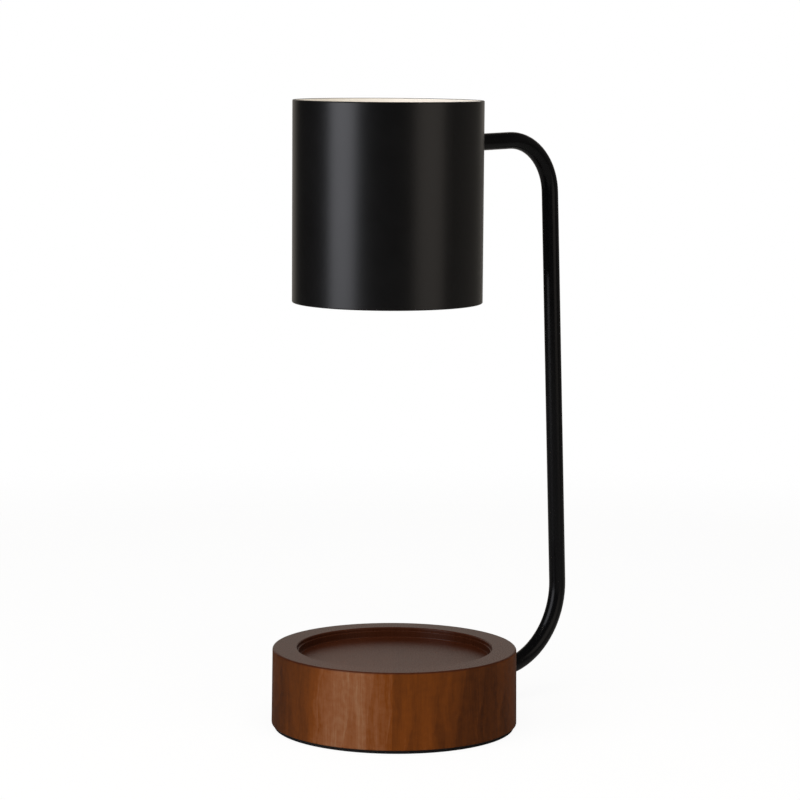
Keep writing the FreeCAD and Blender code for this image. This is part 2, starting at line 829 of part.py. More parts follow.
def pin_way(side):
    # The way of one pin through the holder's plate: a hole that passes its head, and a curved
    # slot that passes only its neck, to where the twist locks it.
    name = f"pin_way_{side}"
    low, height = "dims.holder_bottom - dims.over_cut", "dims.holder_plate + 2 * dims.over_cut"
    neck = "(dims.pin_neck_dia / 2 + dims.pin_slot_play)"
    head = "(dims.pin_head_dia / 2 + dims.pin_hole_play)"
    locked_x, locked_y = holder_spot(side, pin_circle)
    free_x, free_y = holder_spot(f"{side} - dims.twist", pin_circle)
    tools = [
        cylinder(name + "_lock", neck, height, x=locked_x, y=locked_y, z=low),
        cylinder(name + "_hole", head, height, x=free_x, y=free_y, z=low),
    ]
    swept = []
    for part, radius in (("outer", f"{pin_circle} + {neck}"), ("inner", f"{pin_circle} - {neck}")):
        sector = cylinder(
            f"{name}_{part}", radius, height,
            y="-dims.shade_set_back", z=low, axis=Vector(0, 0, 1), angle=f"{side} - dims.twist",
        )
        bind(sector, Angle="dims.twist")
        swept.append(sector)
    return tools + [cut(name + "_arc", swept[0], swept[1:])]


def make_lampholder():
    # A ceramic twist-lock holder, its mouth down.
    axis_y, low = "-dims.shade_set_back", "dims.holder_bottom"
    block = cylinder("holder_block", "dims.holder_dia / 2", "dims.holder_height", y=axis_y, z=low)
    chamber = cylinder(
        "holder_chamber", "dims.chamber_dia / 2", "dims.chamber_height",
        y=axis_y, z=f"{low} + dims.holder_plate",
    )
    tools = [chamber, *pin_way(0), *pin_way(180)]
    shank = "dims.holder_screw_dia / 2 + dims.holder_screw_play"
    head = "dims.holder_screw_head / 2 + dims.holder_screw_play"
    through = "dims.holder_height + 2 * dims.over_cut"
    sink = "dims.holder_screw_sink + dims.over_cut"
    for side in (-1, 1):
        where = {
            "y": f"{axis_y} + ({side}) * dims.holder_screw_spacing / 2",
            "z": f"{low} - dims.over_cut",
        }
        tools.append(cylinder("holder_screw_hole", shank, through, **where))
        tools.append(cylinder("holder_screw_seat", head, sink, **where))
        tools.append(
            cylinder(
                "holder_lead_hole", "dims.lead_hole / 2", "dims.holder_dia / 2",
                x=f"({side}) * {pin_circle}", y=axis_y, z="dims.lead_height",
                axis=Vector(-1, 0, 0), angle="90",
            )
        )
    return cut("lampholder", block, tools)


def make_holder_screws():
    # Two pan head screws, heads down in the holder.
    body = new_body("holder_screws")
    low = "dims.holder_bottom + dims.holder_screw_sink - dims.holder_screw_head_height"
    place(body, y="-dims.shade_set_back", z=low, axis=Vector(0, 0, 1), angle="90")
    reach = "dims.holder_screw_spacing / 2"
    head, shank = "dims.holder_screw_head / 2", "dims.holder_screw_dia / 2"
    corners = [
        ("0", "0"),
        (head, "0"),
        (head, "dims.holder_screw_head_height"),
        (shank, "dims.holder_screw_head_height"),
        (shank, "dims.holder_screw_length"),
        ("0", "dims.holder_screw_length"),
    ]
    turn = add_turned(body, corners, reach)
    recess = new_sketch(body, "XY_Plane")
    draw_outline(recess, cross_corners(reach, "dims.holder_recess_arm", "dims.holder_recess_width"))
    slot = add_pocket(body, recess, "dims.holder_recess_depth", reverse=True)
    add_pattern(body, [turn, slot], "2")
    return body


def make_holder_nuts():
    nuts = []
    top = f"{bracket_bottom} + dims.bracket_sheet"
    for side in (-1, 1):
        where = {"y": f"-dims.shade_set_back + ({side}) * dims.holder_screw_spacing / 2", "z": top}
        height = "dims.holder_nut_height"
        prism = hex_prism("holder_nut_prism", "dims.holder_nut_flats", height, **where)
        hole = cylinder("holder_nut_thread", "dims.holder_screw_dia / 2", height, **where)
        nuts.append(cut("holder_nut", prism, [hole]))
    return group("holder_nuts", nuts)


def make_contacts():
    # Bent brass strips: a foot over each pin's head, and a leg up to the chamber's ceiling.
    contacts = []
    foot_height = "(dims.holder_bottom + dims.contact_lift)"
    ceiling = "(dims.holder_bottom + dims.holder_plate + dims.chamber_height)"
    for side in (-1, 1):
        left = f"({side}) * {pin_circle} - dims.contact_width / 2"
        foot = box(
            "contact_foot", "dims.contact_width", "dims.contact_front + dims.contact_back",
            "dims.contact_sheet",
            x=left, y="-dims.shade_set_back - dims.contact_front", z=foot_height,
        )
        leg = box(
            "contact_leg", "dims.contact_width", "dims.contact_sheet", f"{ceiling} - {foot_height}",
            x=left, y="-dims.shade_set_back + dims.contact_back - dims.contact_sheet", z=foot_height,
        )
        contacts.append(fuse("contact", [foot, leg]))
    return group("holder_contacts", contacts)


# ---- terminal block and leads


def make_terminal_block():
    # A plastic block with two bores for the brass inserts, and wells for their screws.
    low = "(dims.cavity_ceiling - dims.block_height)"
    block = box(
        "block_housing", "dims.block_width", "dims.block_length", "dims.block_height",
        x="-dims.block_width / 2", y="dims.block_reach - dims.block_length / 2", z=low,
    )
    tools = []
    for side in (-1, 1):
        across = f"({side}) * dims.block_pitch / 2"
        tools.append(
            cylinder(
                "block_bore", "dims.terminal_dia / 2", "dims.block_length + 2 * dims.over_cut",
                x=across, y="dims.block_reach - dims.block_length / 2 - dims.over_cut",
                z="dims.terminal_height", axis=Vector(-1, 0, 0), angle="90",
            )
        )
        for end in (-1, 1):
            along = f"dims.block_reach + ({end}) * dims.terminal_screw_spacing / 2"
            tools.append(
                cylinder(
                    "block_well", "dims.terminal_well / 2",
                    f"dims.terminal_height - {low} + dims.over_cut",
                    x=across, y=along, z=f"{low} - dims.over_cut",
                )
            )
    through = "dims.block_height + 2 * dims.over_cut"
    sink = "dims.block_screw_sink + dims.over_cut"
    shank = "dims.block_screw_dia / 2 + dims.block_screw_play"
    head = "dims.block_screw_head / 2 + dims.block_seat_play"
    spot = {"y": "dims.block_reach", "z": f"{low} - dims.over_cut"}
    tools.append(cylinder("block_screw_hole", shank, through, **spot))
    tools.append(cylinder("block_screw_seat", head, sink, **spot))
    return cut("terminal_block", block, tools)


def make_terminals():
    # Two brass barrels, each open along its axis for the wires and drilled for two screws.
    inserts = []
    for side in (-1, 1):
        where = {
            "x": f"({side}) * dims.block_pitch / 2",
            "y": "dims.block_reach - dims.terminal_length / 2",
            "z": "dims.terminal_height",
            "axis": Vector(-1, 0, 0),
            "angle": "90",
        }
        barrel = cylinder("terminal_barrel", "dims.terminal_dia / 2", "dims.terminal_length", **where)
        tools = [cylinder("terminal_bore", "dims.terminal_bore / 2", "dims.terminal_length", **where)]
        for end in (-1, 1):
            along = f"dims.block_reach + ({end}) * dims.terminal_screw_spacing / 2"
            tools.append(
                cylinder(
                    "terminal_thread", "dims.terminal_screw_dia / 2", "dims.terminal_dia / 2",
                    x=where["x"], y=along, z="dims.terminal_height - dims.terminal_dia / 2",
                )
            )
        inserts.append(cut("terminal_insert", barrel, tools))
    return group("terminal_inserts", inserts)


def slotted_screw(name, head_dia, head_height, shank_dia, shank_length, **where):
    # A cheese head screw on Z 0 of its own frame, head down, with a straight slot.
    head = cylinder(name + "_head", f"{head_dia} / 2", head_height)
    shank = cylinder(name + "_shank", f"{shank_dia} / 2", shank_length, z=head_height)
    width = f"{head_dia} * dims.slot_width_share"
    slot = box(
        name + "_slot", f"{head_dia} + dims.over_cut", width, f"{head_height} * dims.slot_depth_share",
        x=f"-({head_dia} + dims.over_cut) / 2", y=f"-({width}) / 2",
    )
    return place(cut(name, fuse(name + "_blank", [head, shank]), [slot]), **where)


def make_terminal_screws():
    screws = []
    length = "dims.terminal_screw_length - dims.terminal_head_height"
    for side in (-1, 1):
        for end in (-1, 1):
            screws.append(
                slotted_screw(
                    "terminal_screw", "dims.terminal_screw_head", "dims.terminal_head_height",
                    "dims.terminal_screw_dia", length,
                    x=f"({side}) * dims.block_pitch / 2",
                    y=f"dims.block_reach + ({end}) * dims.terminal_screw_spacing / 2",
                    z="dims.terminal_screw_tip - dims.terminal_screw_length",
                )
            )
    return group("terminal_screws", screws)


def make_block_screw():
    seat = "(dims.cavity_ceiling - dims.block_height + dims.block_screw_sink)"
    length = f"dims.cavity_ceiling + dims.block_screw_depth - {seat}"
    head_height = "dims.block_screw_head_height"
    return slotted_screw(
        "block_screw", "dims.block_screw_head", head_height, "dims.block_screw_dia", length,
        y="dims.block_reach", z=f"{seat} - {head_height}",
    )


def lead_route(side):
    # From the terminal block, through the tube, to the holder's contact. Each inner point has the
    # radius of the bend there.
    gap = value("dims.lead_half_gap") * side
    outer = value("dims.block_pitch / 2") * side
    pin = value(pin_circle) * side
    low, high = value("dims.low_run_height"), value("dims.lead_height")
    bend = value("dims.lead_bend")
    low_turn = value("dims.tube_low_end - dims.lead_low_turn")
    top_turn = value("dims.tube_top_end - dims.lead_top_turn")
    top_corner = (value(top_corner_reach), value("dims.top_corner_height"))
    back = value("-dims.shade_set_back + dims.contact_back")
    terminal = value("dims.terminal_height")
    return [
        (Vector(outer, value("dims.block_reach + dims.lead_in_terminal"), terminal), 0),
        (Vector(outer, low_turn / 2, terminal), bend),
        (Vector(gap, low_turn, low), bend),
        (Vector(gap, value("dims.leg_reach"), low), value("dims.low_bend")),
        (Vector(gap, *top_corner), value("dims.top_bend")),
        (Vector(gap, top_turn, value(top_run_height(str(top_turn)))), bend),
        (Vector(pin, value("dims.holder_dia / 2 - dims.lead_holder_turn"), high), bend),
        (Vector(pin, back, high), 0),
    ]


def rounded_wire(route):
    # Straight runs joined by tangent arcs.
    edges = []
    here = route[0][0]
    for number in range(1, len(route) - 1):
        corner, radius = route[number]
        before, after = route[number - 1][0], route[number + 1][0]
        arrive, leave = fillet_ends(before, corner, after, radius)
        half = (before - corner).getAngle(after - corner) / 2
        inward = ((before - corner).normalize() + (after - corner).normalize()).normalize()
        middle = corner + inward * (radius / math.sin(half) - radius)
        edges.append(Part.LineSegment(here, arrive).toShape())
        edges.append(Part.Arc(arrive, middle, leave).toShape())
        here = leave
    edges.append(Part.LineSegment(here, route[-1][0]).toShape())
    return Part.Wire(edges)


def sweep_round(wire, radius):
    start = wire.Edges[0]
    circle = Part.makeCircle(radius, start.firstVertex().Point, start.tangentAt(start.FirstParameter))
    return wire.makePipeShell([Part.Wire(circle)], True, False)


def make_lead(label, side):
    lead = doc.addObject("Part::Feature", label)
    lead.Shape = sweep_round(rounded_wire(lead_route(side)), value("dims.lead_dia / 2"))
    return lead


def make_sleeves():
    # Glass fibre sleeves over the hot ends of the leads, from inside the tube into the holder.
    sleeves = []
    start = value("dims.tube_top_end + dims.sleeve_in_tube")
    end = value("-dims.shade_set_back + dims.chamber_dia / 2 + dims.sleeve_in_holder")
    for side in (-1, 1):
        route = lead_route(side)[4:]
        height = value(top_run_height(str(start)))
        route[0] = (Vector(route[0][0].x, start, height), 0)
        route[-1] = (Vector(route[-1][0].x, end, route[-1][0].z), 0)
        wire = rounded_wire(route)
        outer = sweep_round(wire, value("dims.sleeve_dia / 2"))
        sleeves.append(outer.cut(sweep_round(wire, value("dims.sleeve_bore / 2"))))
    sleeve = doc.addObject("Part::Feature", "lead_sleeves")
    sleeve.Shape = Part.makeCompound(sleeves)
    return sleeve


# ---- bulb


def on_bulb_axis(item, rise="0"):
    return place(item, y="-dims.shade_set_back", z=f"dims.bulb_face + {rise}")


def make_bulb_base():
    # The white ceramic cap that carries the pins.
    body = on_bulb_axis(new_body("bulb_base"))
    top = f"({bulb_shoulder} - dims.bulb_face)"
    corners = [
        ("0", f"{top} - dims.bulb_base_height"),
        ("dims.bulb_base_low_dia / 2", f"{top} - dims.bulb_base_height"),
        ("dims.bulb_base_top_dia / 2", top),
        ("0", top),
    ]
    add_turned(body, corners)
    round_edges(body, "dims.bulb_base_round", [("dims.bulb_base_top_dia / 2", top)])
    return body


def make_bulb_pins():
    # Two pins with thick heads, side by side, locked at rest.
    body = on_bulb_axis(new_body("bulb_pins"))
    shoulder = f"({bulb_shoulder} - dims.bulb_face)"
    neck, head = "dims.pin_neck_dia / 2", "dims.pin_head_dia / 2"
    corners = [
        ("0", shoulder),
        (neck, shoulder),
        (neck, f"{shoulder} + dims.pin_neck_length"),
        (head, f"{shoulder} + dims.pin_neck_length"),
        (head, f"{shoulder} + dims.pin_neck_length + dims.pin_head_length"),
        ("0", f"{shoulder} + dims.pin_neck_length + dims.pin_head_length"),
    ]
    turn = add_turned(body, corners, pin_circle)
    add_pattern(body, [turn], "2")
    return body


def make_bulb_reflector():
    # A pressed glass bowl, with a seat for the front glass inside its rim.
    body = on_bulb_axis(new_body("bulb_reflector"))
    neck_height = f"({bulb_shoulder} - dims.bulb_face - dims.bulb_base_height)"
    rim = "dims.bulb_dia / 2"
    outer = f"{rim} - dims.bulb_step"
    inner = f"{rim} - dims.bulb_step - dims.bulb_glass_wall"
    neck_inner = "dims.bulb_neck_dia / 2 - dims.bulb_glass_wall"
    seat = f"{rim} - dims.bulb_glass_wall"
    corners = [
        (seat, "0"),
        (rim, "0"),
        (rim, "dims.bulb_rim_height"),
        (outer, "dims.bulb_rim_height", ("dims.bulb_curve", 1)),
        ("dims.bulb_neck_dia / 2", neck_height),
        (neck_inner, neck_height, ("dims.bulb_curve", -1)),
        (inner, "dims.bulb_rim_height"),
        (inner, "dims.front_glass_height"),
        (seat, "dims.front_glass_height"),
    ]
    add_turned(body, corners)
    round_edges(body, "dims.bulb_rim_round", [(rim, "dims.bulb_rim_height")])
    return body


def make_front_glass():
    radius = "dims.bulb_dia / 2 - dims.bulb_glass_wall"
    return on_bulb_axis(cylinder("bulb_front_glass", radius, "dims.front_glass_height"))


def make_capsule():
    # The hollow quartz capsule in the bowl, closed at both ends.
    body = on_bulb_axis(new_body("bulb_capsule"))
    top = f"({bulb_shoulder} - dims.bulb_face - dims.bulb_base_height)"
    low = f"({top} - dims.capsule_length)"
    outer = "dims.capsule_dia / 2"
    inner = "(dims.capsule_dia / 2 - dims.capsule_wall)"
    floor = f"({low} + dims.capsule_tip_wall)"
    ceiling = f"({low} + dims.filament_rise + dims.filament_length + dims.filament_tail)"
    add_turned(body, [("0", low), (outer, low), (outer, top), ("0", top)])
    round_edges(body, "dims.capsule_round", [(outer, low)])
    add_groove(body, [("0", floor), (inner, floor), (inner, ceiling), ("0", ceiling)])
    return body


def make_filament():
    # A coil along the axis, drawn as the cylinder it fills, on two support wires. One goes
    # straight up, and the other turns round under the coil and goes up beside it.
    low = f"({bulb_shoulder} - dims.bulb_face - dims.bulb_base_height - dims.capsule_length)"
    start = f"({low} + dims.filament_rise)"
    middle = f"({start} + dims.filament_length / 2)"
    top = f"({start} + dims.filament_length + dims.filament_tail)"
    wire = "dims.filament_wire_dia / 2"
    coil = cylinder("filament_coil", "dims.filament_dia / 2", "dims.filament_length", z=start)
    straight = cylinder("filament_top_wire", wire, f"{top} - {middle}", z=middle)
    reach, bend = value("dims.filament_wire_reach"), value("dims.filament_wire_bend")
    turn = value(f"{start} - dims.filament_wire_drop")
    route = [
        (Vector(0, 0, value(middle) - bend), 0),
        (Vector(0, 0, turn), bend),
        (Vector(reach, 0, turn), bend),
        (Vector(reach, 0, value(top)), 0),
    ]
    bent = doc.addObject("Part::Feature", "filament_bent_wire")
    bent.Shape = sweep_round(rounded_wire(route), value(wire))
    return on_bulb_axis(fuse("bulb_filament", [coil, straight, bent]))


# ---- the whole lamp


def make_lamp():
    return [
        make_base(),
        make_pad(),
        make_cover(),
        make_cover_screws(),
        make_grommet(),
        make_arm_tube(),
        *make_arm_fittings(),
        make_shade(),
        make_bracket(),
        make_lampholder(),
        make_holder_screws(),
        make_holder_nuts(),
        make_contacts(),
        make_terminal_block(),
        make_terminals(),
        make_terminal_screws(),
        make_block_screw(),
        make_lead("lead_live", 1),
        make_lead("lead_neutral", -1),
        make_sleeves(),
        make_bulb_base(),
        make_bulb_pins(),
        make_bulb_reflector(),
        make_front_glass(),
        make_capsule(),
        make_filament(),
    ]


def check(pieces):
    failed = [item.Label for item in doc.Objects if {"Invalid", "Error"} & set(item.State)]
    failed += [piece.Label for piece in pieces if piece.Shape.isNull() or not piece.Shape.isValid()]
    if failed:
        raise RuntimeError("not sound: " + ", ".join(failed))


def write(pieces):
    os.makedirs("parts", exist_ok=True)
    for piece in pieces:
        piece.Shape.exportStep(f"parts/{piece.Label}.step")
        print(f"{piece.Label}: {len(piece.Shape.Solids)} solids, {piece.Shape.Volume / 1000:.2f} cm3")


lamp = make_lamp()
doc.recompute()
check(lamp)
write(lamp)
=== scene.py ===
import math

import bmesh
import bpy
from mathutils import Matrix, Vector


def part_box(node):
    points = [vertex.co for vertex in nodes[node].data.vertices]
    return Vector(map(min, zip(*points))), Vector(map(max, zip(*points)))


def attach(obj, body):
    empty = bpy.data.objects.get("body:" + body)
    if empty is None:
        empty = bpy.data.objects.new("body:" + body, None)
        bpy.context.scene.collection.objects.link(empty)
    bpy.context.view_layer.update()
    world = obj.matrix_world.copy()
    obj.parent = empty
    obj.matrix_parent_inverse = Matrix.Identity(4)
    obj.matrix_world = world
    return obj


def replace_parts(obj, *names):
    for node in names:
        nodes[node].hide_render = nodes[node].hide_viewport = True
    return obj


# A candle warmer lamp: a stained wooden base, a bent steel arm, and a powder coated shade that holds
# a reflector bulb over the tray. Metres, +Z up, the arm at the rear (+Y).

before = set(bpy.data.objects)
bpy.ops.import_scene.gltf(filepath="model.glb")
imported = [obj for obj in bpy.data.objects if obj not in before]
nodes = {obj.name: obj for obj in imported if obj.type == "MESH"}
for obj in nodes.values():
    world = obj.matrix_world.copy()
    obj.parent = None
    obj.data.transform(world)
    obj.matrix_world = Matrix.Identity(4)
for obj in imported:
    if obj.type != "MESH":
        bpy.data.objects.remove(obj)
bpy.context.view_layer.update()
mm = 0.001
print(f"frame: {len(nodes)} nodes")


def linearColor(code):
    # an sRGB hex value as the linear numbers that a socket takes
    channels = [int(code[spot:spot + 2], 16) / 255 for spot in (1, 3, 5)]
    return [c / 12.92 if c <= 0.04045 else ((c + 0.055) / 1.055) ** 2.4 for c in channels] + [1.0]


def addNode(tree, kind, inputs=None, stops=None, **settings):
    # One node with its settings and links. An input, named or counted among those in use, is a value,
    # a hex colour, a socket, or a node for its first output. Stops are a ramp's places and colours.
    node = tree.nodes.new("ShaderNode" + kind)
    for name, setting in settings.items():
        setattr(node, name, setting)
    used = [socket for socket in node.inputs if socket.enabled]
    for key, given in (inputs or {}).items():
        socket = used[key] if isinstance(key, int) else next(each for each in used if each.name == key)
        if isinstance(given, bpy.types.Node):
            given = next(output for output in given.outputs if output.enabled)
        if isinstance(given, bpy.types.NodeSocket):
            tree.links.new(given, socket)
        else:
            socket.default_value = linearColor(given) if isinstance(given, str) else given
    for number, (place, code) in enumerate(stops or []):
        elements = node.color_ramp.elements
        element = elements[number] if number < len(elements) else elements.new(1.0)
        element.position = place
        element.color = linearColor(code)
    return node


def startMaterial(name):
    # an empty material, and the piece's own coordinates in millimetres
    material = bpy.data.materials.new(name)
    material.use_nodes = True
    tree = material.node_tree
    tree.nodes.clear()
    own = addNode(tree, "TexCoord").outputs["Object"]
    return material, tree, addNode(tree, "Mapping", {"Vector": own, "Scale": (1 / mm,) * 3})


walnut = {
    # the palest, greyer stop is reached in the painted highlight band and stands in for its sheen
    "sideTones": ((0.0, "#341601"), (0.44, "#653205"), (0.6, "#744628"), (1.0, "#94775A")),
    "endTones": ((0.1, "#36180B"), (0.9, "#442213")),
    "turn": -48.7,  # degrees, so that a joint shows at the front and the wide zones below run across the view
    "joints": ((-60.9, 0.02), (-0.9, -0.12), (59.1, 0.04)),  # where, and how much paler the next stave is
    # across the view: lighter and darker wood, with a painted highlight left of the middle where the key
    # light falls, and painted shade towards both ends
    "woodAndLightZones": (
        (-74, 0.1), (-55, 0.22), (-48, 0.36), (-41, 0.53), (-35, 0.61), (-28, 0.6), (-20, 0.54), (-13, 0.46),
        (10, 0.43), (22, 0.42), (30, 0.34), (40, 0.26), (48, 0.23), (64, 0.22),
    ),
    "bandWidth": 7,
    "bandDepth": 35,
    "bandLength": 120,
    "staveShift": 876,  # so far along its grain is each stave cut
    "lean": -0.12,  # sideways for each millimetre up
    "wander": 6,
    "wanderLength": 33,
    "fibreWidth": 0.6,
    "fibreLength": 14,
    "figureSize": 3.5,
    "ringWidth": 13,
    "ringBend": 9,
    "ringTone": 0.035,  # how much each pattern lightens or darkens
    "bandTone": 0.24,
    "fibreTone": 0.1,
    "figureTone": 0.085,
    "rimStart": 1.1,  # millimetres below the top, where the side turns into end grain
    "rimEnd": 0.4,
    "trayReach": 57.6,  # end grain within this reach and above this height
    "trayBottom": 36,
    "poreDepth": 0.02,
    "sideRough": (0.62, 0.74),
    "endRough": (0.22, 0.34),  # the top is rubbed down finer than the side
    "specular": 0.11,
}


def stainedWalnut(look):
    # Hardwood staves glued upright, turned, stained walnut and sealed in satin lacquer. The fibres
    # run up the side as soft wavy bands, and the rim and tray are end grain, which takes more stain.
    # The wide zones across the side also hold a painted highlight towards the key light and painted shade
    # away from it.
    material, tree, block = startMaterial("stainedWalnut")
    point = addNode(tree, "Mapping", {"Vector": block, "Rotation": (0, 0, math.radians(look["turn"]))})
    axes = addNode(tree, "SeparateXYZ", {0: point})
    across, up = axes.outputs["X"], axes.outputs["Z"]
    # the bands wander sideways as they rise
    swing = addNode(tree, "TexNoise", {"Vector": point, "Scale": 1 / look["wanderLength"]})
    wander = addNode(tree, "MapRange", {"Value": swing, "To Min": -look["wander"], "To Max": look["wander"]})
    place = addNode(tree, "Math", {0: across, 1: wander}, operation="ADD")
    place = addNode(tree, "Math", {0: up, 1: look["lean"], 2: place}, operation="MULTIPLY_ADD")
    # wide zones across the block: partly lighter and darker wood, partly a painted highlight where the key
    # light falls and painted shade towards both sides
    first, last = look["woodAndLightZones"][0][0], look["woodAndLightZones"][-1][0]
    share = addNode(tree, "MapRange", {"Value": place, "From Min": first, "From Max": last})
    tone = addNode(tree, "FloatCurve", {"Value": share})
    points = tone.mapping.curves[0].points
    for distance, height in look["woodAndLightZones"][1:-1]:
        points.new((distance - first) / (last - first), height)
    points[0].location = (0, look["woodAndLightZones"][0][1])
    points[-1].location = (1, look["woodAndLightZones"][-1][1])
    tone.mapping.update()
    # each stave is cut from another length of board
    stave = 0.0
    for joint, paler in look["joints"]:
        past = addNode(tree, "Math", {0: across, 1: joint}, operation="GREATER_THAN")
        stave = addNode(tree, "Math", {0: past, 1: stave}, operation="ADD")
        tone = addNode(tree, "Math", {0: past, 1: paler, 2: tone}, operation="MULTIPLY_ADD")
    lift = addNode(tree, "Math", {0: stave, 1: look["staveShift"]}, operation="MULTIPLY")
    shift = addNode(tree, "CombineXYZ", {"X": wander, "Y": wander, "Z": lift})
    board = addNode(tree, "VectorMath", {0: point, 1: shift}, operation="ADD")
    bandScale = [1 / look[size] for size in ("bandWidth", "bandDepth", "bandLength")]
    bandPoint = addNode(tree, "Mapping", {"Vector": board, "Scale": bandScale})
    bands = addNode(tree, "TexNoise", {"Vector": bandPoint, "Scale": 1.0, "Detail": 4.0, "Roughness": 0.6})
    # year rings cut lengthwise: each fades in and ends at a line
    bent = addNode(tree, "Math", {0: bands, 1: look["ringBend"], 2: place}, operation="MULTIPLY_ADD")
    ring = addNode(tree, "Math", {0: bent, 1: look["ringWidth"]}, operation="DIVIDE")
    rings = addNode(tree, "Math", {0: ring}, operation="FRACT")
    fibreScale = [1 / look[size] for size in ("fibreWidth", "fibreWidth", "fibreLength")]
    fibrePoint = addNode(tree, "Mapping", {"Vector": point, "Scale": fibreScale})
    fibres = addNode(tree, "TexNoise", {"Vector": fibrePoint, "Scale": 1.0, "Roughness": 0.6})
    figure = addNode(tree, "TexNoise", {"Vector": point, "Scale": 1 / look["figureSize"], "Detail": 3.0})
    patterns = {"bandTone": bands, "ringTone": rings, "fibreTone": fibres, "figureTone": figure}
    for name, pattern in patterns.items():
        change = addNode(tree, "MapRange", {"Value": pattern, "To Min": -look[name], "To Max": look[name]})
        tone = addNode(tree, "Math", {0: tone, 1: change}, operation="ADD")
    side = addNode(tree, "ValToRGB", {0: tone}, look["sideTones"])
    endGrain = addNode(tree, "ValToRGB", {0: tone}, look["endTones"])
    # the rim's flat and the tray are end grain
    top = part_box("base_body")[1].z / mm
    rimBand = {"Value": up, "From Min": top - look["rimStart"], "From Max": top - look["rimEnd"]}
    rim = addNode(tree, "MapRange", rimBand)
    level = addNode(tree, "VectorMath", {0: point, 1: (1, 1, 0)}, operation="MULTIPLY")
    reach = addNode(tree, "VectorMath", {0: level}, operation="LENGTH")
    within = addNode(tree, "Math", {0: reach, 1: look["trayReach"]}, operation="LESS_THAN")
    above = addNode(tree, "Math", {0: up, 1: look["trayBottom"]}, operation="GREATER_THAN")
    tray = addNode(tree, "Math", {0: within, 1: above}, operation="MULTIPLY")
    onTop = addNode(tree, "Math", {0: rim, 1: tray}, operation="MAXIMUM")
    color = addNode(tree, "Mix", {"Factor": onTop, "A": side, "B": endGrain}, data_type="RGBA")
    roughs = []
    for name in ("sideRough", "endRough"):
        smooth, coarse = look[name]
        roughs.append(addNode(tree, "MapRange", {"Value": fibres, "To Min": smooth, "To Max": coarse}))
    rough = addNode(tree, "Mix", {"Factor": onTop, "A": roughs[0], "B": roughs[1]})
    bump = addNode(tree, "Bump", {"Height": fibres, "Distance": look["poreDepth"] * mm})
    lacquer = addNode(
        tree, "BsdfPrincipled",
        {
            "Base Color": color, "Roughness": rough, "Normal": bump, "IOR": 1.5,
            "Specular IOR Level": look["specular"],
        },
    )
    addNode(tree, "OutputMaterial", {"Surface": lacquer})
    return material


powder = {
    "black": "#050506",
    "blackPale": "#09090A",
    "cream": "#FAF5EB",
    "creamDull": "#F3EDE1",
    "cloudSize": 22,  # millimetres, as the sizes below
    "waveSize": 1.3,
    "waveDepth": 0.006,
    "speckSize": 0.25,
    "speckTone": 0.4,  # the specks' share of the colour, beside the clouds
    "speckRise": 0.25,  # their height beside the waves
    "armRough": (0.2, 0.26),
    "armSpecular": 0.2,
    "shadeRough": (0.29, 0.34),
    "creamRougher": 0.15,
    "coverTop": 0.3,  # how far the black comes over the rims
    "coverBottom": 0.5,
    "coverDepth": 0.4,  # and how far in from the outside
    "coverFade": 0.1,
}


def powderSkin(tree, point, look):
    # the faint clouds of colour, and the orange peel with fine specks of any baked powder coat
    clouds = addNode(tree, "TexNoise", {"Vector": point, "Scale": 1 / look["cloudSize"], "Detail": 3.0})
    specks = addNode(tree, "TexNoise", {"Vector": point, "Scale": 1 / look["speckSize"], "Detail": 1.0})
    waves = addNode(tree, "TexNoise", {"Vector": point, "Scale": 1 / look["waveSize"], "Detail": 1.0})
    tone = addNode(tree, "Mix", {"Factor": look["speckTone"], "A": clouds, "B": specks})
    height = addNode(tree, "Math", {0: specks, 1: look["speckRise"], 2: waves}, operation="MULTIPLY_ADD")
    return tone, addNode(tree, "Bump", {"Height": height, "Distance": look["waveDepth"] * mm})


def blackPowderCoat(look):
    # Polyester powder coat baked on steel tube: an even satin black skin over every bend.
    material, tree, point = startMaterial("blackPowderCoat")
    tone, bump = powderSkin(tree, point, look)
    color = addNode(tree, "ValToRGB", {0: tone}, [(0.35, look["black"]), (0.65, look["blackPale"])])
    smooth, coarse = look["armRough"]
    rough = addNode(tree, "MapRange", {"Value": tone, "To Min": smooth, "To Max": coarse})
    coat = addNode(
        tree, "BsdfPrincipled",
        {
            "Base Color": color, "Roughness": rough, "Normal": bump, "IOR": 1.5,
            "Specular IOR Level": look["armSpecular"],
        },
    )
    addNode(tree, "OutputMaterial", {"Surface": coat})
    return material


